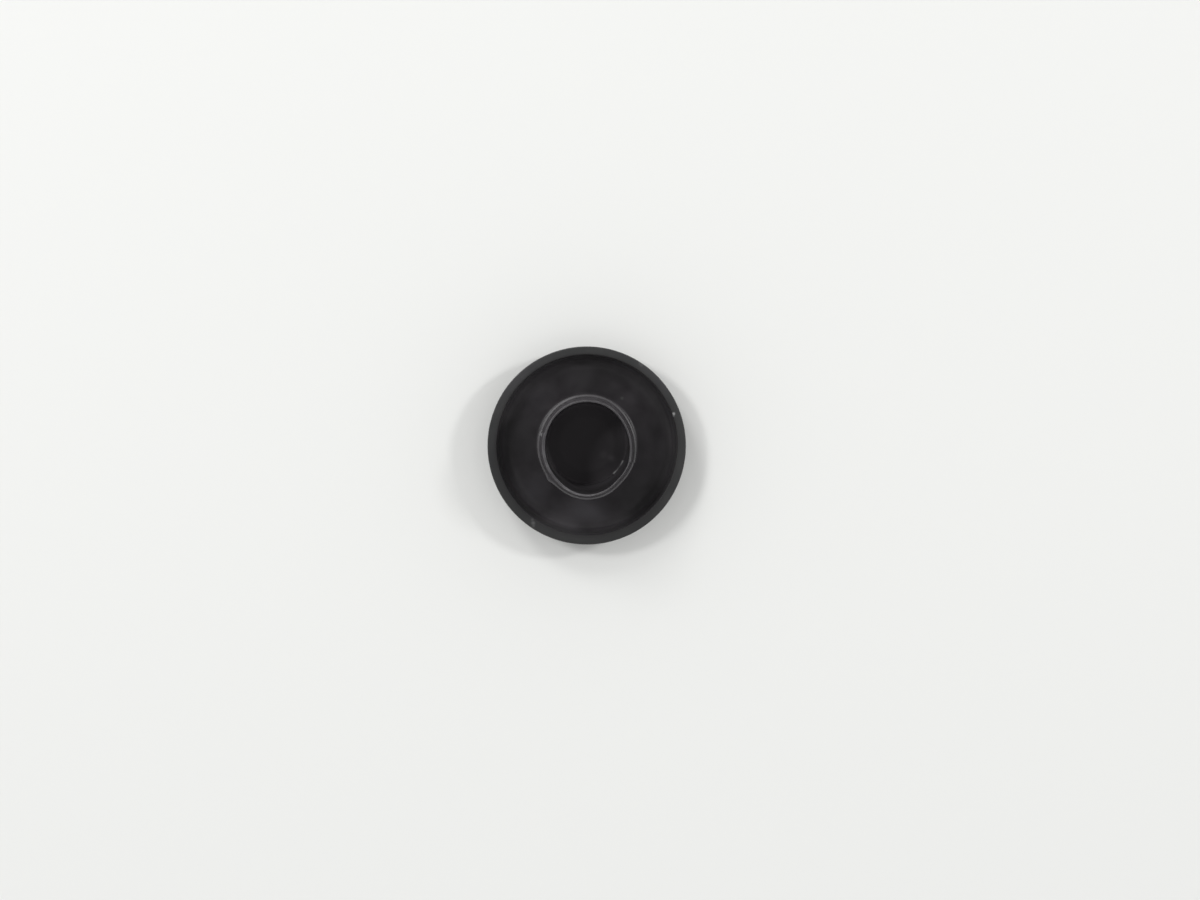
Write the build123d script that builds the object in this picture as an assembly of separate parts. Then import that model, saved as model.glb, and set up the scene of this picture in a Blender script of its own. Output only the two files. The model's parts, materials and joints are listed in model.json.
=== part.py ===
"""Hole plug: a cup-shaped head and a hollow snap tube, moulded in one piece of soft plastic.

The plug lies on the flat face of its head, with the tube upwards. The origin is the centre of the
face, +Z is the axis of the plug, and the mould's parting plane is Y = 0. Lengths are in millimetres
and angles in degrees.
"""
from build123d import *
import os
from math import acos, cos, radians, sin, tan

# Head: a shallow cup whose rim meets the panel
head_diameter = 27.4
head_height = 3.5  # from the face to the seating land
face_edge_radius = 2.4
land_width = 1.2  # flat ring on top of the rim
land_edge_break = 0.1  # small bevels on both edges of the land
web_thickness = 1.2  # closed disc between the face and the recess
recess_draft = 10.0
recess_cove_radius = 1.3

# Tube: pushed through the hole in the panel
tube_diameter = 13.1
root_draft = 2.0  # of the length inside the recess
root_bevel = 0.45  # where the tube meets the floor of the recess
panel_grip = 2.6  # from the seating land to the underside of the snap bead
bead_section_radius = 0.55
bead_stand = 0.42  # how far the bead stands out of the tube
bead_facets = 6  # flats that follow the round of the bead
lip_length = 1.9  # from the crest of the bead to the mouth
lead_in_length = 1.3
lead_in_depth = 0.3
mouth_edge_break = 0.07  # small bevels on both edges of the lip

# Bore: open at the mouth and closed by the web
mouth_wall = 0.53
base_wall = 0.9
bore_floor_radius = 0.4

# Form left by the mould and by storage
mouth_squeeze = 0.23  # added to one radius of the mouth and taken from the other
squeeze_angle = 117.0  # of the long axis of the mouth, from +X
mould_step = 0.12  # sideways mismatch of the two mould halves
core_shift = 0.12  # of the recess, tube and bore against the outside of the head
core_shift_angle = 79.0  # direction of that shift, from +X

# Levels above the face
bead_level = head_height + panel_grip + bead_section_radius
mouth_level = bead_level + lip_length
lead_in_level = mouth_level - lead_in_length

# Radii
head_radius = head_diameter / 2
land_inner_radius = head_radius - land_width
recess_depth = head_height - web_thickness
recess_floor_radius = land_inner_radius - recess_depth * tan(radians(recess_draft))
tube_radius = tube_diameter / 2
root_radius = tube_radius + recess_depth * tan(radians(root_draft))
lip_radius = tube_radius - lead_in_depth
bead_centre_radius = tube_radius + bead_stand - bead_section_radius
mouth_bore_radius = tube_radius - mouth_wall
floor_bore_radius = tube_radius - base_wall


def bore_radius(level):
    """Radius of the tapered bore at a level above the face."""
    share = (level - web_thickness) / (mouth_level - web_thickness)
    return floor_bore_radius + share * (mouth_bore_radius - floor_bore_radius)


def squeeze(level):
    """Oval squeeze at a level: none at the rim, and all of it from the bead to the mouth."""
    share = (level - head_height) / (bead_level - head_height)
    return mouth_squeeze * min(max(share, 0.0), 1.0)


def oval(level, radius):
    """Outline of the squeezed tube at a level, for a given mean radius."""
    outline = Ellipse(radius + squeeze(level), radius - squeeze(level))
    return Pos(0, 0, level) * Rot(0, 0, squeeze_angle) * outline


def turned(corners, rounds):
    """Solid turned about Z from the corners of its half section, each round being (corner, radius)."""
    with BuildPart() as solid:
        with BuildSketch(Plane.XZ) as section:
            with BuildLine():
                Polyline(*corners, close=True)
            make_face()
            for corner, radius in rounds:
                fillet(section.vertices().sort_by_distance(corner)[0], radius)
        revolve(axis=Axis.Z)
    return solid.part


def head():
    """The outside of the head, still solid: face, rounded edge and the top of the rim."""
    face_edge = (head_radius, 0)
    corners = [
        (0, 0),
        face_edge,
        (head_radius, head_height - land_edge_break),
        (head_radius - land_edge_break, head_height),
        (0, head_height),
    ]
    return turned(corners, [(face_edge, face_edge_radius)])


def recess():
    """The hollow between the rim and the root of the tube."""
    floor_corner = (recess_floor_radius, web_thickness)
    corners = [
        (tube_radius, head_height),
        (root_radius, web_thickness + root_bevel),
        (root_radius + root_bevel, web_thickness),
        floor_corner,
        (land_inner_radius, head_height - land_edge_break),
        (land_inner_radius + land_edge_break, head_height),
    ]
    return turned(corners, [(floor_corner, recess_cove_radius)])


def bead_rows():
    """(level, radius) rows round the snap bead, from where it leaves the tube to where it meets it."""
    reach = acos((tube_radius - bead_centre_radius) / bead_section_radius)
    rows = []
    for facet in range(bead_facets + 1):
        turn = reach * (2 * facet / bead_facets - 1)
        level = bead_level + bead_section_radius * sin(turn)
        radius = bead_centre_radius + bead_section_radius * cos(turn)
        rows.append((level, radius))
    return rows


def snap_tube():
    """The tube above the rim, still solid: neck, snap bead, lead-in and lip, in two mould halves."""
    rows = [(head_height, tube_radius)]
    rows += bead_rows()
    rows += [
        (lead_in_level, tube_radius),
        (mouth_level - mouth_edge_break, lip_radius),
        (mouth_level, lip_radius - mouth_edge_break),
    ]
    tube = loft([oval(level, radius) for level, radius in rows], ruled=True)
    back_half = split(tube, bisect_by=Plane.ZX, keep=Keep.TOP)
    front_half = split(tube, bisect_by=Plane.ZX, keep=Keep.BOTTOM)
    return back_half + Pos(-mould_step, 0, 0) * front_half


def bore():
    """The hollow of the tube: round and filleted at the web, oval and bevelled at the mouth."""
    floor_edge = (bore_radius(web_thickness), web_thickness)
    corners = [
        (0, web_thickness),
        floor_edge,
        (bore_radius(head_height), head_height),
        (0, head_height),
    ]
    lower = turned(corners, [(floor_edge, bore_floor_radius)])
    edge_level = mouth_level - mouth_edge_break
    rows = [(level, bore_radius(level)) for level in (head_height, bead_level, edge_level)]
    rows.append((mouth_level, bore_radius(edge_level) + mouth_edge_break))
    upper = loft([oval(level, radius) for level, radius in rows], ruled=True)
    return lower + upper


def hole_plug():
    """The whole plug: the head with the recess, tube and bore that the shifted core forms in it."""
    angle = radians(core_shift_angle)
    core = Pos(core_shift * cos(angle), core_shift * sin(angle), 0)
    return head() - core * recess() + core * snap_tube() - core * bore()


os.makedirs("parts", exist_ok=True)
export_step(hole_plug(), "parts/hole_plug.step")
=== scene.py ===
import json
import math

import bmesh
import bpy
from mathutils import Matrix, Vector, noise


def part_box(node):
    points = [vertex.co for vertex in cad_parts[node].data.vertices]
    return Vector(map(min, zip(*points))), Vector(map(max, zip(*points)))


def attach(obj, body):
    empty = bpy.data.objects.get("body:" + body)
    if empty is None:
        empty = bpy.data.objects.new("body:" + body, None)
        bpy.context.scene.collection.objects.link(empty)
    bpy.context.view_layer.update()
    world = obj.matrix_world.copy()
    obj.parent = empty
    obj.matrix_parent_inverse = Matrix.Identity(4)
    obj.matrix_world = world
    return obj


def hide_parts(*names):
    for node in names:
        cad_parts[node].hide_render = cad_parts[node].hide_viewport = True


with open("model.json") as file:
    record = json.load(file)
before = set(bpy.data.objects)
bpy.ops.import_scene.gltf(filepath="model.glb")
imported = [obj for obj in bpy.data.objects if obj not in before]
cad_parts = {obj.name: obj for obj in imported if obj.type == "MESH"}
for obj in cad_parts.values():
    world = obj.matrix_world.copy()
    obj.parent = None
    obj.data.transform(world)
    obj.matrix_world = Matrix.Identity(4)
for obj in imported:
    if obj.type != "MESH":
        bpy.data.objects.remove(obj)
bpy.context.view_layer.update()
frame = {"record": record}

# A black hole plug lies on the flat face of its head with its hollow snap tube upwards.
# Lengths are in metres and angles in degrees. The mould's parting plane is Y = 0.

MM = 0.001
NODE = "hole_plug"
SLOT = "black_plastic"

# ---------------------------------------------------------------- sizes from the frame
node_low, node_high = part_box(NODE)
mounts = {mount["name"]: mount for mount in frame["record"]["mounts"]}
HEAD_RADIUS = (node_high.x - node_low.x) / 2
HEAD_HEIGHT = mounts["seat"]["pos_m"][2]
MOUTH_LEVEL = node_high.z

# ---------------------------------------------------------------- sizes of the head
FACE_EDGE_ROUND = 2.4 * MM
LAND_WIDTH = 1.2 * MM
LAND_EDGE_ROUND = 0.14 * MM
WEB = 1.2 * MM  # closed disc between the face and the recess
RECESS_DRAFT = 10.0
RECESS_COVE = 1.3 * MM

# ---------------------------------------------------------------- sizes of the tube
TUBE_RADIUS = 6.55 * MM
ROOT_DRAFT = 2.0
ROOT_COVE = 0.45 * MM
BEAD_LEVEL = MOUTH_LEVEL - 1.9 * MM
BEAD_HALF_HEIGHT = 0.55 * MM
BEAD_STAND = 0.42 * MM
BEAD_ROUND = 0.41 * MM
BEAD_FOOT_ROUND = 0.1 * MM
LEAD_IN_LENGTH = 1.3 * MM
LEAD_IN_DEPTH = 0.3 * MM
LIP_ROUND = 0.08 * MM
MOUTH_WALL = 0.53 * MM
BASE_WALL = 0.9 * MM
BORE_FLOOR_ROUND = 0.4 * MM
PIN_MARK_RADIUS = 3.82 * MM  # paler disc on the floor of the bore, partly the core pin's mark and partly painted light where light reaches the floor

# ---------------------------------------------------------------- form left by mould and storage
MOUTH_SQUEEZE = 0.23 * MM
SQUEEZE_ANGLE = 117.0
MOULD_STEP = 0.12 * MM
CORE_SHIFT = 0.12 * MM  # of the recess, tube and bore against the outside of the head
CORE_SHIFT_ANGLE = 79.0
STEP_BAND = (WEB, HEAD_HEIGHT + ROOT_COVE)  # the step and the flash fade out down this band
TUBE_DENTS = (  # angle, half width in degrees, height
    (287, 22, 0.10 * MM),
    (77, 20, 0.08 * MM),
    (244, 14, -0.06 * MM),
    (331, 11, -0.11 * MM),
    (357, 6, 0.06 * MM),
)
LIP_FLARE = 0.1 * MM  # the lip alone leans out here
LIP_FLARE_ANGLE = 273.0
LIP_FLARE_WIDTH = 32.0
FLASH_HEIGHT = 0.07 * MM
FLASH_MEAN = 0.6  # share of the height, with a ragged part on top
FLASH_RAGGED = 0.8
FLASH_SCALE_ACROSS = 40
FLASH_SCALE_UP = 1900
PARTING_GAP = 0.25  # angle between the parting line and the ring of points beside it
NUB_ANGLE = 236.5  # a nub of flash on the bead
NUB_WIDTH = 1.1 * MM
NUB_HEIGHT = 0.22 * MM
NUB_BAND = (TUBE_RADIUS + 0.1 * MM, TUBE_RADIUS + 0.3 * MM)  # it grows outwards across the bead

# ---------------------------------------------------------------- zones of the surface
ZONES = ("wear", "scuff", "bloom", "land", "wall", "cove", "bore", "deep", "pad")
LIP_BAND = (0.05 * MM, 0.25 * MM)  # from the wall of the bore to where the outside starts
BORE_LIP_DROP = 0.1 * MM  # the bore starts this far below the mouth
BORE_SLACK = 0.02 * MM  # points this far outside the wall of the bore still belong to it
LAND_DROP = 0.1 * MM  # the land takes in its broken edges this far down
LAND_SLACK = 0.05 * MM  # and this far in
WALL_FOOT = WEB + 0.4 * MM  # the wall of the recess is painted paler from here up, painted light
WALL_INNER_RADIUS = HEAD_RADIUS - LAND_WIDTH - 0.7 * MM
COVE_RISE = (10.3 * MM, 11.2 * MM)  # radii over which the duller finish of the cove comes in
COVE_FALL = (11.5 * MM, 11.9 * MM)  # and goes out
DEEP_BAND = (WEB, HEAD_HEIGHT + 3 * MM)  # the bore is painted paler down this band, painted light deep in the bore
PIN_MARK_EDGE = (PIN_MARK_RADIUS - 0.3 * MM, PIN_MARK_RADIUS + 0.3 * MM)
HEAD_INNER_RADIUS = TUBE_RADIUS + 2 * ROOT_COVE  # the head keeps its round form from here outwards
CORE_EDGE_RADIUS = HEAD_RADIUS - 0.8 * LAND_WIDTH  # the core doesn't form the head beyond this

# ---------------------------------------------------------------- rubbed edges and painted highlights on the crests
LIP_WEAR_BAND = (MOUTH_LEVEL - 0.14 * MM, MOUTH_LEVEL - 0.03 * MM)
CREST_WEAR_BAND = (BEAD_LEVEL + 0.05 * MM, BEAD_LEVEL + 0.25 * MM)
CREST_WEAR_RADII = (TUBE_RADIUS + 0.1 * MM, TUBE_RADIUS + 0.25 * MM)
LEAD_IN_WEAR_BAND = (BEAD_LEVEL + 0.45 * BEAD_HALF_HEIGHT, BEAD_LEVEL + BEAD_HALF_HEIGHT)
WEAR_MEAN = 0.8
WEAR_PATCHES = 0.5
WEAR_PATCH_SCALE = 900
BEAD_WEAR_AND_HIGHLIGHT = (  # angle, share painted pale as highlight and rubbing
    (20, 0.1),
    (100, 0.14),
    (112, 0.3),
    (140, 0.5),
    (168, 0.6),
    (182, 0.1),
    (226, 0.1),
    (238, 0.25),
    (260, 0.22),
    (290, 0.35),
    (310, 0.35),
    (325, 0.2),
    (352, 0.2),
    (358, 0.3),
)
LEAD_IN_WEAR_AND_HIGHLIGHT = (  # angle, share painted pale as highlight and rubbing
    (17, 0.0),
    (62, 0.08),
    (107, 0.18),
    (152, 0.15),
    (197, 0.0),
    (242, 0.12),
    (287, 0.24),
    (332, 0.12),
    (352, 0.0),
)
LIP_WEAR_AND_HIGHLIGHT = (  # angle, share painted pale as highlight and rubbing, above 1 also pale between its patches
    (30, 0.4),
    (180, 0.55),
    (200, 0.6),
    (250, 0.7),
    (268, 1.3),
    (298, 1.2),
    (312, 0.55),
    (350, 0.4),
)

# ---------------------------------------------------------------- pale specks
PALE_SPECKS = (  # angle, radius, level, size, grey
    (37.3, HEAD_RADIUS - LAND_WIDTH + 0.30 * MM, HEAD_HEIGHT, 0.27 * MM, 0.22),
    (36.1, HEAD_RADIUS - LAND_WIDTH + 0.18 * MM, HEAD_HEIGHT, 0.20 * MM, 0.10),
    (252.2, HEAD_RADIUS - LAND_WIDTH + 0.5 * MM, HEAD_HEIGHT, 0.38 * MM, 0.055),
    (253.4, HEAD_RADIUS - LAND_WIDTH + 0.8 * MM, HEAD_HEIGHT, 0.26 * MM, 0.045),
    (250.6, HEAD_RADIUS - LAND_WIDTH + 0.2 * MM, HEAD_HEIGHT, 0.26 * MM, 0.035),
    (180.7, 6.62 * MM, MOUTH_LEVEL - 1.1 * MM, 0.4 * MM, 0.17),
    (74.3, HEAD_RADIUS - 0.2 * MM, HEAD_HEIGHT, 0.24 * MM, 0.045),
    (72.9, HEAD_RADIUS - 0.24 * MM, HEAD_HEIGHT, 0.3 * MM, 0.045),
    (69.7, 8.12 * MM, WEB, 0.3 * MM, 0.036),
)

# ---------------------------------------------------------------- painted light and shade
# Each patch of painted light and shade has an angle, radius, level, size and strength, above 0 painted
# light and below 0 painted shade.
# Painted reflections and shade in the recess, and painted shade on the tube by the bead.
RECESS_LIGHT_AND_SHADE = (
    (287, 9.7 * MM, WEB, 2.3 * MM, 1.0),
    (238, 9.5 * MM, WEB, 1.8 * MM, 0.5),
    (154, 9.6 * MM, WEB, 2.0 * MM, 0.35),
    (195, 8.9 * MM, WEB, 3.0 * MM, -0.45),
    (101, 9.0 * MM, WEB, 3.2 * MM, -0.45),
    (17, 10.1 * MM, WEB, 1.9 * MM, 0.22),
    (332, 10.0 * MM, WEB, 2.8 * MM, -0.5),
    (287, 11.5 * MM, WEB, 1.3 * MM, -0.8),
    (14, 6.9 * MM, BEAD_LEVEL, 1.8 * MM, -0.8),
)
# The land is painted lighter on one side and darker on the other, as light falls on it.
LAND_LIGHT_AND_SHADE = (
    (62, 13.1 * MM, HEAD_HEIGHT, 3.5 * MM, 0.3),
    (152, 13.1 * MM, HEAD_HEIGHT, 3.5 * MM, 0.5),
    (205, 13.1 * MM, HEAD_HEIGHT, 4.5 * MM, -0.25),
    (245, 13.1 * MM, HEAD_HEIGHT, 4.5 * MM, -0.4),
    (285, 13.1 * MM, HEAD_HEIGHT, 4.5 * MM, -0.4),
    (325, 13.1 * MM, HEAD_HEIGHT, 4.5 * MM, -0.35),
)
# Painted light and shade on the floor of the bore, paler mostly where the tube shades it.
BORE_LIGHT_AND_SHADE = (
    (135, 5.2 * MM, WEB, 3.4 * MM, 0.5),
    (195, 5.0 * MM, WEB, 2.8 * MM, 0.35),
    (95, 5.0 * MM, WEB, 3.0 * MM, 0.3),
    (62, 5.0 * MM, WEB, 2.6 * MM, 0.2),
    (242, 5.0 * MM, WEB, 2.8 * MM, 0.42),
    (272, 4.8 * MM, WEB, 1.6 * MM, 0.2),
    (355, 4.0 * MM, WEB, 3.0 * MM, -0.33),
    (347, 3.96 * MM, WEB, 0.42 * MM, 0.5),
    (344, 2.7 * MM, WEB, 0.5 * MM, 0.3),
)
LAND_SHADE = 0.62  # the land darkens towards the recess
LAND_SHADE_WIDTH = 0.6 * MM
COVE_SHADE = ((0, 0.45), (60, 0.5), (85, 0.15), (270, 0.1), (330, 0.35))  # angle, strength
COVE_SHADE_RADIUS = 11.3 * MM
COVE_SHADE_WIDTH = 0.5 * MM
FOOT_SHADE = ((278, 0.0), (300, 0.25), (345, 0.25), (360, 0.0))  # angle, strength, at the foot of the bore

# ---------------------------------------------------------------- painted glint in the bore
GLINT_ANGLE = 340.5
GLINT_HALF_ANGLE = 12.5
GLINT_END_ANGLE = 1.5  # over which each end fades
GLINT_RADIUS = 5.5 * MM
GLINT_WIDTH = 0.09 * MM
GLINT_MEAN = 0.6
GLINT_RIPPLE = 0.4
GLINT_RIPPLES = 14  # in a full turn

# ---------------------------------------------------------------- mesh density
SPIN_STEPS = 256
LONGEST_EDGE = 0.28 * MM
WELD = 0.001 * MM

# ---------------------------------------------------------------- tones of the plastic
BODY_DARK = (0.0075, 0.0055, 0.0074, 1)
BODY_LIGHT = (0.0205, 0.0178, 0.0207, 1)
# Painted light on the wall of the recess.
PAINTED_WALL_LIGHT = (0.0260, 0.0247, 0.0262, 1)
RIM_DARK = (0.0115, 0.0120, 0.0125, 1)
RIM_LIGHT = (0.0195, 0.0195, 0.0195, 1)
BORE_TONE = (0.0160, 0.0150, 0.0160, 1)
# Painted light deep in the bore.
PAINTED_DEEP_BORE_LIGHT = (0.0600, 0.0560, 0.0600, 1)
# Paler disc on the floor of the bore: partly the core pin's mark, partly painted light.
PIN_MARK_AND_LIGHT_TONE = (0.0750, 0.0705, 0.0750, 1)
# Colours of the painted light and painted shade patches.
PAINTED_LIGHT_TONE = (0.0330, 0.0305, 0.0350, 1)
PAINTED_BORE_LIGHT_TONE = (0.1200, 0.1130, 0.1200, 1)
PAINTED_SHADE_TONE = (0.0050, 0.0045, 0.0050, 1)
# Pale crests: partly painted highlight, partly rubbed wear.
RUBBED_HIGHLIGHT_TONE = (0.085, 0.082, 0.086, 1)
# Painted highlight of the glint in the bore.
GLINT_TONE = (0.28, 0.28, 0.28, 1)

# ---------------------------------------------------------------- finish of the plastic
MOTTLE_SCALE = 300
MOTTLE_DETAIL = 4
MOTTLE_RANGE = (0.32, 0.68)
ROUGHNESS_LOW = 0.36
ROUGHNESS_HIGH = 0.54
COVE_ROUGHNESS = 0.75
LAND_ROUGHNESS = 0.62
BORE_ROUGHNESS = 0.5
RUBBED_ROUGHNESS = 0.6
SHINE = 0.5
BORE_SHINE = 0.2
DEEP_BORE_SHINE = 0.04
GRAIN_SCALE = 9000
GRAIN_DETAIL = 2
GRAIN_STRENGTH = 0.2
GRAIN_HEIGHT = 0.01 * MM
SPECK_CORE = 0.3  # share of a speck's size inside which it is fully pale

# ---------------------------------------------------------------- floor, camera and light
FLOOR_HALF_SIDE = 0.6
FLOOR_TONE = (0.73, 0.735, 0.72, 1)
FLOOR_ROUGHNESS = 0.65
FLOOR_SHINE = 0.3
VIEW_TURN = 17.0  # the camera's right-hand side, from +X towards +Y
LENS = 82.5 * MM
SENSOR_WIDTH = 36 * MM
CAMERA_ACROSS = -0.00257  # towards the camera's right
CAMERA_ALONG = 0.02688  # towards the top of its view
CAMERA_HEIGHT = 0.382
TARGET_ACROSS = 0.00187
TARGET_ALONG = -0.00082
LAMP_DISTANCE = 0.9
LAMPS = (  # name, angle from the camera's right, lean from straight above, size, power
    ("upper_left_light", 150, 47, 0.16, 2.4),
    ("right_light", 22, 59, 0.11, 2.6),
    ("top_light", 119, 60, 0.22, 2.2),
)
SKY_HORIZON = (0.30, 1.0)  # rise of the direction, brightness
SKY_MIDDLE = ((0.45, 0.25), (0.86, 0.25))
SKY_ZENITH = (0.96, 0.04)
SKY_STRENGTH = 2.2


def smooth_share(value, start, end):
    """0 before start, 1 after end, and an S-curve between them."""
    share = min(max((value - start) / (end - start), 0.0), 1.0)
    return share * share * (3 - 2 * share)


def place_around(point):
    """Radius of a point and its angle, from 0 to 360."""
    return math.hypot(point.x, point.y), math.degrees(math.atan2(point.y, point.x)) % 360


def point_at(angle, radius, level):
    """The point at an angle, a radius and a level."""
    turn = math.radians(angle)
    return Vector((radius * math.cos(turn), radius * math.sin(turn), level))


def degrees_apart(first, second):
    """Signed angle from the second direction to the first, within half a turn."""
    return (first - second + 180) % 360 - 180


def hump(distance, width):
    """1 at no distance, falling away like a bell to either side."""
    return math.exp(-((distance / width) ** 2))


def bore_radius(level):
    """Radius of the tapered bore at a level above the face."""
    share = (level - WEB) / (MOUTH_LEVEL - WEB)
    floor = TUBE_RADIUS - BASE_WALL
    mouth = TUBE_RADIUS - MOUTH_WALL
    return floor + share * (mouth - floor)


def section_corners():
    """(radius, level, round, segments) from the middle of the face round to the floor of the bore."""
    land_inner = HEAD_RADIUS - LAND_WIDTH
    recess_depth = HEAD_HEIGHT - WEB
    recess_floor = land_inner - recess_depth * math.tan(math.radians(RECESS_DRAFT))
    root = TUBE_RADIUS + recess_depth * math.tan(math.radians(ROOT_DRAFT))
    bead_radius = TUBE_RADIUS + BEAD_STAND
    bead_low = BEAD_LEVEL - BEAD_HALF_HEIGHT
    bead_high = BEAD_LEVEL + BEAD_HALF_HEIGHT
    return [
        (0, 0, 0, 0),
        (HEAD_RADIUS, 0, FACE_EDGE_ROUND, 14),
        (HEAD_RADIUS, HEAD_HEIGHT, LAND_EDGE_ROUND, 5),
        (land_inner, HEAD_HEIGHT, LAND_EDGE_ROUND, 5),
        (recess_floor, WEB, RECESS_COVE, 8),
        (root, WEB, ROOT_COVE, 6),
        (TUBE_RADIUS, HEAD_HEIGHT, 0, 0),
        (TUBE_RADIUS, bead_low, BEAD_FOOT_ROUND, 3),
        (bead_radius, bead_low, BEAD_ROUND, 9),
        (bead_radius, bead_high, BEAD_ROUND, 9),
        (TUBE_RADIUS, bead_high, BEAD_FOOT_ROUND, 3),
        (TUBE_RADIUS, MOUTH_LEVEL - LEAD_IN_LENGTH, 0, 0),
        (TUBE_RADIUS - LEAD_IN_DEPTH, MOUTH_LEVEL, LIP_ROUND, 4),
        (bore_radius(MOUTH_LEVEL), MOUTH_LEVEL, LIP_ROUND, 4),
        (bore_radius(WEB), WEB, BORE_FLOOR_ROUND, 8),
        (0, WEB, 0, 0),
    ]


def rounded_section(mesh):
    """Half section of the plug as a wire in the XZ plane, with its corners rounded."""
    corners = section_corners()
    points = [mesh.verts.new((radius, 0, level)) for radius, level, _, _ in corners]
    for start, end in zip(points, points[1:]):
        mesh.edges.new((start, end))
    for index in range(1, len(corners) - 1):
        _, _, radius, segments = corners[index]
        if radius == 0:
            continue
        before = Vector(corners[index][:2]) - Vector(corners[index - 1][:2])
        after = Vector(corners[index + 1][:2]) - Vector(corners[index][:2])
        bmesh.ops.bevel(
            mesh,
            geom=[points[index]],
            offset=radius * math.tan(before.angle(after) / 2),
            offset_type="OFFSET",
            segments=segments,
            profile=0.5,
            affect="VERTICES",
            material=-1,
        )
    for edge in list(mesh.edges):
        cuts = math.ceil(edge.calc_length() / LONGEST_EDGE) - 1
        if cuts > 0:
            bmesh.ops.subdivide_edges(mesh, edges=[edge], cuts=cuts)


def outer_share(point):
    """0 on the wall of the bore, 1 on the outside of the tube, and between them across the lip."""
    start, end = LIP_BAND
    inner = bore_radius(point.z)
    return smooth_share(math.hypot(point.x, point.y), inner + start, inner + end)


def between(value, stops):
    """Value of a curve given as (place, height) stops in order, level beyond its ends."""
    for (start, low), (end, high) in zip(stops, stops[1:]):
        if start <= value <= end:
            return low + (high - low) * (value - start) / (end - start)
    return stops[0][1] if value < stops[0][0] else stops[-1][1]


def wear(point):
    """How far the lip, the lead-in and the crest of the bead are painted pale, partly painted highlight
    and partly rubbed wear: 0 not at all, 1 fully pale.
    """
    radius, angle = place_around(point)
    lip = smooth_share(point.z, *LIP_WEAR_BAND) * between(angle, LIP_WEAR_AND_HIGHLIGHT)
    crest = smooth_share(point.z, *CREST_WEAR_BAND) * smooth_share(radius, *CREST_WEAR_RADII)
    crest *= between(angle, BEAD_WEAR_AND_HIGHLIGHT)
    lead_in = smooth_share(point.z, *LEAD_IN_WEAR_BAND) * between(angle, LEAD_IN_WEAR_AND_HIGHLIGHT) * outer_share(point)
    place = Vector((point.x * WEAR_PATCH_SCALE, point.y * WEAR_PATCH_SCALE, 0.7))
    patchy = WEAR_MEAN + WEAR_PATCHES * noise.noise(place)
    return max(lip if radius < TUBE_RADIUS else crest, lead_in) * patchy


def in_bore(point):
    """Whether a point lies on the wall or the floor of the bore, below its lip."""
    inside = math.hypot(point.x, point.y) < bore_radius(point.z) + BORE_SLACK
    return inside and WEB - WELD < point.z < MOUTH_LEVEL - BORE_LIP_DROP


def on_land(point):
    """Whether a point lies on the flat ring at the top of the head."""
    past_recess = math.hypot(point.x, point.y) > HEAD_RADIUS - LAND_WIDTH - LAND_SLACK
    return past_recess and point.z > HEAD_HEIGHT - LAND_DROP


def bloom(point):
    """Painted light and shade on the recess, land and bore: above 0 painted light, below 0 painted shade.
    """
    if point.z < WEB - WELD:
        return 0.0
    radius, angle = place_around(point)
    painted_patches = BORE_LIGHT_AND_SHADE if in_bore(point) else LAND_LIGHT_AND_SHADE if on_land(point) else RECESS_LIGHT_AND_SHADE
    total = 0.0
    for *centre, size, strength in painted_patches:
        total += strength * hump((point - point_at(*centre)).length, size)
    if on_land(point):
        inner = HEAD_RADIUS - LAND_WIDTH
        total -= LAND_SHADE * (1 - smooth_share(radius, inner, inner + LAND_SHADE_WIDTH))
    elif radius < TUBE_RADIUS and point.z < WEB + BORE_FLOOR_ROUND:
        foot = bore_radius(WEB) - BORE_FLOOR_ROUND
        total -= between(angle, FOOT_SHADE) * smooth_share(radius, foot, foot + BORE_FLOOR_ROUND / 2)
    elif point.z < HEAD_HEIGHT:
        total -= between(angle, COVE_SHADE) * hump(radius - COVE_SHADE_RADIUS, COVE_SHADE_WIDTH)
    return total


def scuff(point):
    """A short painted glint: a pale line at the foot of the bore's wall."""
    if not WEB - WELD < point.z < WEB + BORE_FLOOR_ROUND:
        return 0.0
    radius, angle = place_around(point)
    apart = degrees_apart(angle, GLINT_ANGLE)
    along = 1 - smooth_share(abs(apart), GLINT_HALF_ANGLE - GLINT_END_ANGLE, GLINT_HALF_ANGLE)
    uneven = GLINT_MEAN - GLINT_RIPPLE * math.cos(math.radians(apart * GLINT_RIPPLES))
    return along * uneven * hump(radius - GLINT_RADIUS, GLINT_WIDTH)


def zone_values(point):
    """Values that the material reads at a point, by name."""
    radius = math.hypot(point.x, point.y)
    land = float(on_land(point))
    bore = float(in_bore(point))
    wall = WALL_FOOT < point.z < HEAD_HEIGHT and radius > WALL_INNER_RADIUS and not land
    cove = smooth_share(radius, *COVE_RISE) * (1 - smooth_share(radius, *COVE_FALL))
    return {
        "wear": wear(point),
        "scuff": scuff(point),
        "bloom": bloom(point),
        "land": land,
        "wall": float(wall),
        "cove": cove * float(WEB - WELD < point.z < HEAD_HEIGHT),
        "bore": bore,
        "deep": bore * (1 - smooth_share(point.z, *DEEP_BAND)),
        "pad": bore * (1 - smooth_share(radius, *PIN_MARK_EDGE)),
    }


def note_zones(mesh):
    """Writes the zone values on the points of the plug, before it takes its uneven form."""
    layers = {name: mesh.verts.layers.float.new(name) for name in ZONES}
    for vert in mesh.verts:
        values = zone_values(vert.co)
        for name in ZONES:
            vert[layers[name]] = values[name]


def core_share(radius, level):
    """1 on what the mould's core forms, 0 on the outside of the head, and between them across the land."""
    outside = level < HEAD_HEIGHT - 2 * LAND_EDGE_ROUND and radius > CORE_EDGE_RADIUS
    if level < WEB / 2 or outside:
        return 0.0
    return min((HEAD_RADIUS - radius) / LAND_WIDTH, 1.0)


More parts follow.
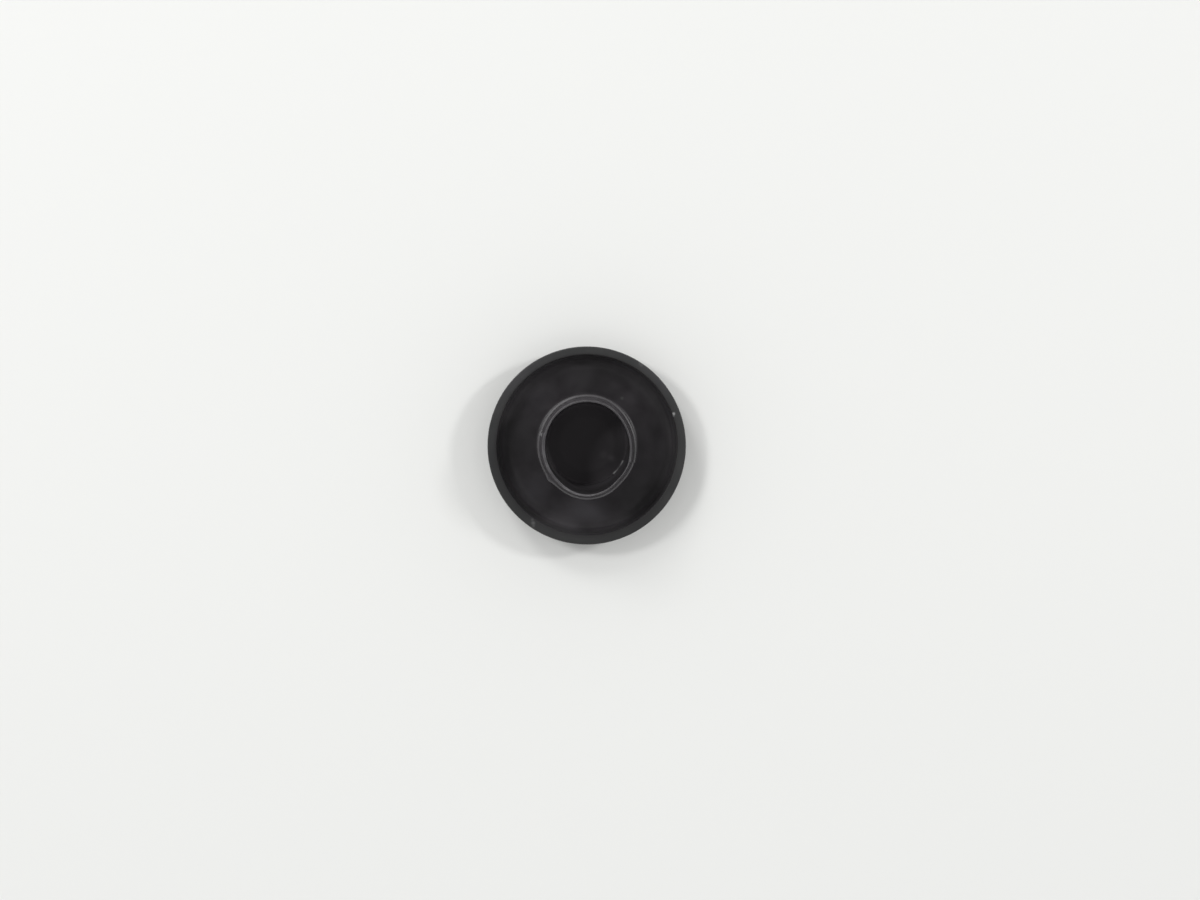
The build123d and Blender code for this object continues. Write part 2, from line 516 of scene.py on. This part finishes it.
def crowd_parting_rings(mesh):
    """Brings the rings of points on the front half close to the parting line, for a crisp step."""
    ring_angle = 360 / SPIN_STEPS
    for vert in mesh.verts:
        angle = math.degrees(math.atan2(vert.co.y, vert.co.x))
        for parting, side in ((0.0, -1), (-180.0, 1)):
            if abs(angle - (parting + side * ring_angle)) < ring_angle / 4:
                turn = side * (PARTING_GAP - ring_angle)
                vert.co.rotate(Matrix.Rotation(math.radians(turn), 3, "Z"))


def mould_and_squeeze(mesh):
    """Oval and dents of the tube, mismatch of the mould's halves and core, and flash along their joint."""
    to_long_axis = Matrix.Rotation(math.radians(-SQUEEZE_ANGLE), 3, "Z")
    from_long_axis = to_long_axis.inverted()
    core_move = point_at(CORE_SHIFT_ANGLE, CORE_SHIFT, 0)
    for vert in mesh.verts:
        point = vert.co.copy()
        radius, angle = place_around(point)
        vert.co = point + core_move * core_share(radius, point.z)
        in_head = point.z <= HEAD_HEIGHT + WELD and radius > HEAD_INNER_RADIUS
        if point.z < WEB + WELD or radius < WELD or in_head:
            continue
        outer = outer_share(point) * smooth_share(point.z, *STEP_BAND)
        share = smooth_share(point.z, HEAD_HEIGHT, BEAD_LEVEL)
        local = to_long_axis @ point
        local.x *= 1 + MOUTH_SQUEEZE * share / radius
        local.y *= 1 - MOUTH_SQUEEZE * share / radius
        moved = from_long_axis @ local

        bulge = 0.0
        for centre, width, height in TUBE_DENTS:
            bulge += height * share * hump(degrees_apart(angle, centre), width)
        across_nub = math.radians(degrees_apart(angle, NUB_ANGLE)) * radius
        bulge += NUB_HEIGHT * share * smooth_share(radius, *NUB_BAND) * hump(across_nub, NUB_WIDTH / 2)
        flare = smooth_share(point.z, BEAD_LEVEL + BEAD_HALF_HEIGHT, MOUTH_LEVEL)
        bulge += LIP_FLARE * flare * hump(degrees_apart(angle, LIP_FLARE_ANGLE), LIP_FLARE_WIDTH)
        moved.x *= 1 + bulge / radius
        moved.y *= 1 + bulge / radius

        if point.y < -WELD:
            moved.x -= MOULD_STEP * outer
        if abs(point.y) <= WELD:
            place = Vector((point.x * FLASH_SCALE_ACROSS, 0.3, point.z * FLASH_SCALE_UP))
            ragged = FLASH_MEAN + FLASH_RAGGED * noise.noise(place)
            moved.x += math.copysign(FLASH_HEIGHT * ragged * outer, point.x)
        vert.co = moved + core_move


def plug_mesh():
    """The whole plug: its half section spun about Z, then given the form left by the mould."""
    mesh = bmesh.new()
    rounded_section(mesh)
    bmesh.ops.spin(
        mesh,
        geom=list(mesh.verts) + list(mesh.edges),
        cent=(0, 0, 0),
        axis=(0, 0, 1),
        angle=2 * math.pi,
        steps=SPIN_STEPS,
        use_merge=True,
    )
    bmesh.ops.remove_doubles(mesh, verts=mesh.verts, dist=WELD)
    crowd_parting_rings(mesh)
    note_zones(mesh)
    mould_and_squeeze(mesh)
    bmesh.ops.recalc_face_normals(mesh, faces=mesh.faces)
    for face in mesh.faces:
        face.smooth = True
    return mesh


def object_from(mesh, name):
    """A new object at the origin that holds the bmesh."""
    data = bpy.data.meshes.new(name)
    mesh.to_mesh(data)
    mesh.free()
    piece = bpy.data.objects.new(name, data)
    bpy.context.scene.collection.objects.link(piece)
    return piece


# ---------------------------------------------------------------- materials
def new_material(name):
    """A material with only its Principled shader and output."""
    material = bpy.data.materials.new(name)
    material.use_nodes = True
    nodes = material.node_tree.nodes
    return material, nodes, material.node_tree.links, nodes["Principled BSDF"]


def point_value(nodes, name):
    """Output that reads one of the mesh's point values."""
    reader = nodes.new("ShaderNodeAttribute")
    reader.attribute_name = name
    return reader.outputs["Fac"]


def blend(nodes, links, share, first, second, kind="FLOAT"):
    """Mix of two values or colours, each an output or a constant."""
    mix = nodes.new("ShaderNodeMix")
    mix.data_type = kind
    offset = 6 if kind == "RGBA" else 2
    sockets = (mix.inputs[0], mix.inputs[offset], mix.inputs[offset + 1])
    for socket, source in zip(sockets, (share, first, second)):
        if isinstance(source, bpy.types.NodeSocket):
            links.new(source, socket)
        else:
            socket.default_value = source
    return mix.outputs[2] if kind == "RGBA" else mix.outputs[0]


def ranged(nodes, links, source, start, end):
    """0 to 1 as the source goes from start to end, and no further."""
    change = nodes.new("ShaderNodeMapRange")
    change.inputs["From Min"].default_value = start
    change.inputs["From Max"].default_value = end
    links.new(source, change.inputs["Value"])
    return change.outputs["Result"]


def spot(nodes, links, place, centre, radius):
    """1 at a point of the object, falling to 0 at a distance from it."""
    gap = nodes.new("ShaderNodeVectorMath")
    gap.operation = "DISTANCE"
    links.new(place, gap.inputs[0])
    gap.inputs[1].default_value = centre
    return ranged(nodes, links, gap.outputs["Value"], radius, radius * SPECK_CORE)


def black_plastic():
    """Satin black moulded plastic: duller on the land, with painted light deep in the bore, on the wall of
    the recess and on the paler disc, patches of painted light and shade, a painted glint in the bore, and
    crests painted pale, partly painted highlight and partly rubbed wear.
    """
    material, nodes, links, shader = new_material(SLOT)
    place = nodes.new("ShaderNodeTexCoord").outputs["Object"]
    zone = {name: point_value(nodes, name) for name in ZONES}
    # Painted light where the patches are above 0 and painted shade where they are below 0.
    painted_light_share = ranged(nodes, links, zone["bloom"], 0, 1)
    painted_shade_share = ranged(nodes, links, zone["bloom"], 0, -1)

    cloud = nodes.new("ShaderNodeTexNoise")
    cloud.inputs["Scale"].default_value = MOTTLE_SCALE
    cloud.inputs["Detail"].default_value = MOTTLE_DETAIL
    links.new(place, cloud.inputs["Vector"])
    mottle = ranged(nodes, links, cloud.outputs["Fac"], *MOTTLE_RANGE)

    tone = blend(nodes, links, mottle, BODY_DARK, BODY_LIGHT, "RGBA")
    rim = blend(nodes, links, mottle, RIM_DARK, RIM_LIGHT, "RGBA")
    painted_light_colour = blend(nodes, links, zone["bore"], PAINTED_LIGHT_TONE, PAINTED_BORE_LIGHT_TONE, "RGBA")
    # The wall, the deep bore and the paler disc carry painted light, the patches painted light and shade,
    # the glint a painted highlight, and the pale crests partly painted highlight.
    for share, over in (
        (zone["wall"], PAINTED_WALL_LIGHT),
        (zone["land"], rim),
        (zone["bore"], BORE_TONE),
        (zone["deep"], PAINTED_DEEP_BORE_LIGHT),
        (zone["pad"], PIN_MARK_AND_LIGHT_TONE),
        (painted_light_share, painted_light_colour),
        (painted_shade_share, PAINTED_SHADE_TONE),
        (zone["wear"], RUBBED_HIGHLIGHT_TONE),
        (zone["scuff"], GLINT_TONE),
    ):
        tone = blend(nodes, links, share, tone, over, "RGBA")
    for *centre, size, grey in PALE_SPECKS:
        share = spot(nodes, links, place, point_at(*centre), size)
        tone = blend(nodes, links, share, tone, (grey, grey, grey, 1), "RGBA")
    links.new(tone, shader.inputs["Base Color"])

    rough = blend(nodes, links, cloud.outputs["Fac"], ROUGHNESS_LOW, ROUGHNESS_HIGH)
    for name, roughness in (
        ("cove", COVE_ROUGHNESS),
        ("land", LAND_ROUGHNESS),
        ("bore", BORE_ROUGHNESS),
        ("wear", RUBBED_ROUGHNESS),
    ):
        rough = blend(nodes, links, zone[name], rough, roughness)
    links.new(rough, shader.inputs["Roughness"])
    shine = blend(nodes, links, zone["bore"], SHINE, BORE_SHINE)
    shine = blend(nodes, links, zone["deep"], shine, DEEP_BORE_SHINE)
    links.new(shine, shader.inputs["Specular IOR Level"])

    grain = nodes.new("ShaderNodeTexNoise")
    grain.inputs["Scale"].default_value = GRAIN_SCALE
    grain.inputs["Detail"].default_value = GRAIN_DETAIL
    links.new(place, grain.inputs["Vector"])
    bump = nodes.new("ShaderNodeBump")
    bump.inputs["Strength"].default_value = GRAIN_STRENGTH
    bump.inputs["Distance"].default_value = GRAIN_HEIGHT
    links.new(grain.outputs["Fac"], bump.inputs["Height"])
    links.new(bump.outputs["Normal"], shader.inputs["Normal"])
    return material


def pale_floor():
    """Plain pale board."""
    material, _, _, shader = new_material("pale_floor")
    shader.inputs["Base Color"].default_value = FLOOR_TONE
    shader.inputs["Roughness"].default_value = FLOOR_ROUGHNESS
    shader.inputs["Specular IOR Level"].default_value = FLOOR_SHINE
    return material


# ---------------------------------------------------------------- plug
plug = object_from(plug_mesh(), "plug_body")
plug.data.materials.append(black_plastic())
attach(plug, "root")
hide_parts(NODE)

# ---------------------------------------------------------------- floor
floor_mesh = bmesh.new()
bmesh.ops.create_grid(floor_mesh, x_segments=1, y_segments=1, size=FLOOR_HALF_SIDE)
bmesh.ops.translate(floor_mesh, vec=(0, 0, -WELD), verts=floor_mesh.verts)
floor = object_from(floor_mesh, "floor")
floor.data.materials.append(pale_floor())

# ---------------------------------------------------------------- camera
right = point_at(VIEW_TURN, 1, 0)
up = Vector((-right.y, right.x, 0))
camera_place = right * CAMERA_ACROSS + up * CAMERA_ALONG + Vector((0, 0, CAMERA_HEIGHT))
camera_target = right * TARGET_ACROSS + up * TARGET_ALONG

camera_data = bpy.data.cameras.new("camera")
camera_data.lens = LENS / MM
camera_data.sensor_width = SENSOR_WIDTH / MM
camera = bpy.data.objects.new("camera", camera_data)
bpy.context.scene.collection.objects.link(camera)
back = (camera_place - camera_target).normalized()
side = up.cross(back).normalized()
turn = Matrix((side, back.cross(side), back)).transposed()
camera.matrix_world = Matrix.Translation(camera_place) @ turn.to_4x4()
bpy.context.scene.camera = camera


# ---------------------------------------------------------------- light
def soft_light(name, angle, lean, size, power):
    """A square soft lamp that faces the plug."""
    flat = right * math.cos(math.radians(angle)) + up * math.sin(math.radians(angle))
    direction = flat * math.sin(math.radians(lean)) + Vector((0, 0, math.cos(math.radians(lean))))
    data = bpy.data.lights.new(name, "AREA")
    data.shape = "SQUARE"
    data.size = size
    data.energy = power
    lamp = bpy.data.objects.new(name, data)
    turned = direction.to_track_quat("Z", "Y").to_matrix().to_4x4()
    lamp.matrix_world = Matrix.Translation(direction * LAMP_DISTANCE) @ turned
    bpy.context.scene.collection.objects.link(lamp)


for lamp_values in LAMPS:
    soft_light(*lamp_values)


def dim_sky():
    """Surroundings that are dark straight above, soft halfway down and bright near the horizon."""
    world = bpy.data.worlds.new("studio")
    world.use_nodes = True
    nodes = world.node_tree.nodes
    links = world.node_tree.links
    place = nodes.new("ShaderNodeTexCoord")
    parts = nodes.new("ShaderNodeSeparateXYZ")
    links.new(place.outputs["Generated"], parts.inputs["Vector"])
    ramp = nodes.new("ShaderNodeValToRGB")
    steps = ramp.color_ramp.elements
    for step, (rise, level) in zip(steps, (SKY_HORIZON, SKY_ZENITH)):
        step.position = rise
        step.color = (level, level, level, 1)
    for rise, level in SKY_MIDDLE:
        steps.new(rise).color = (level, level, level, 1)
    links.new(parts.outputs["Z"], ramp.inputs["Fac"])
    links.new(ramp.outputs["Color"], nodes["Background"].inputs["Color"])
    nodes["Background"].inputs["Strength"].default_value = SKY_STRENGTH
    return world


bpy.context.scene.world = dim_sky()
bpy.context.scene.view_settings.view_transform = "Standard"
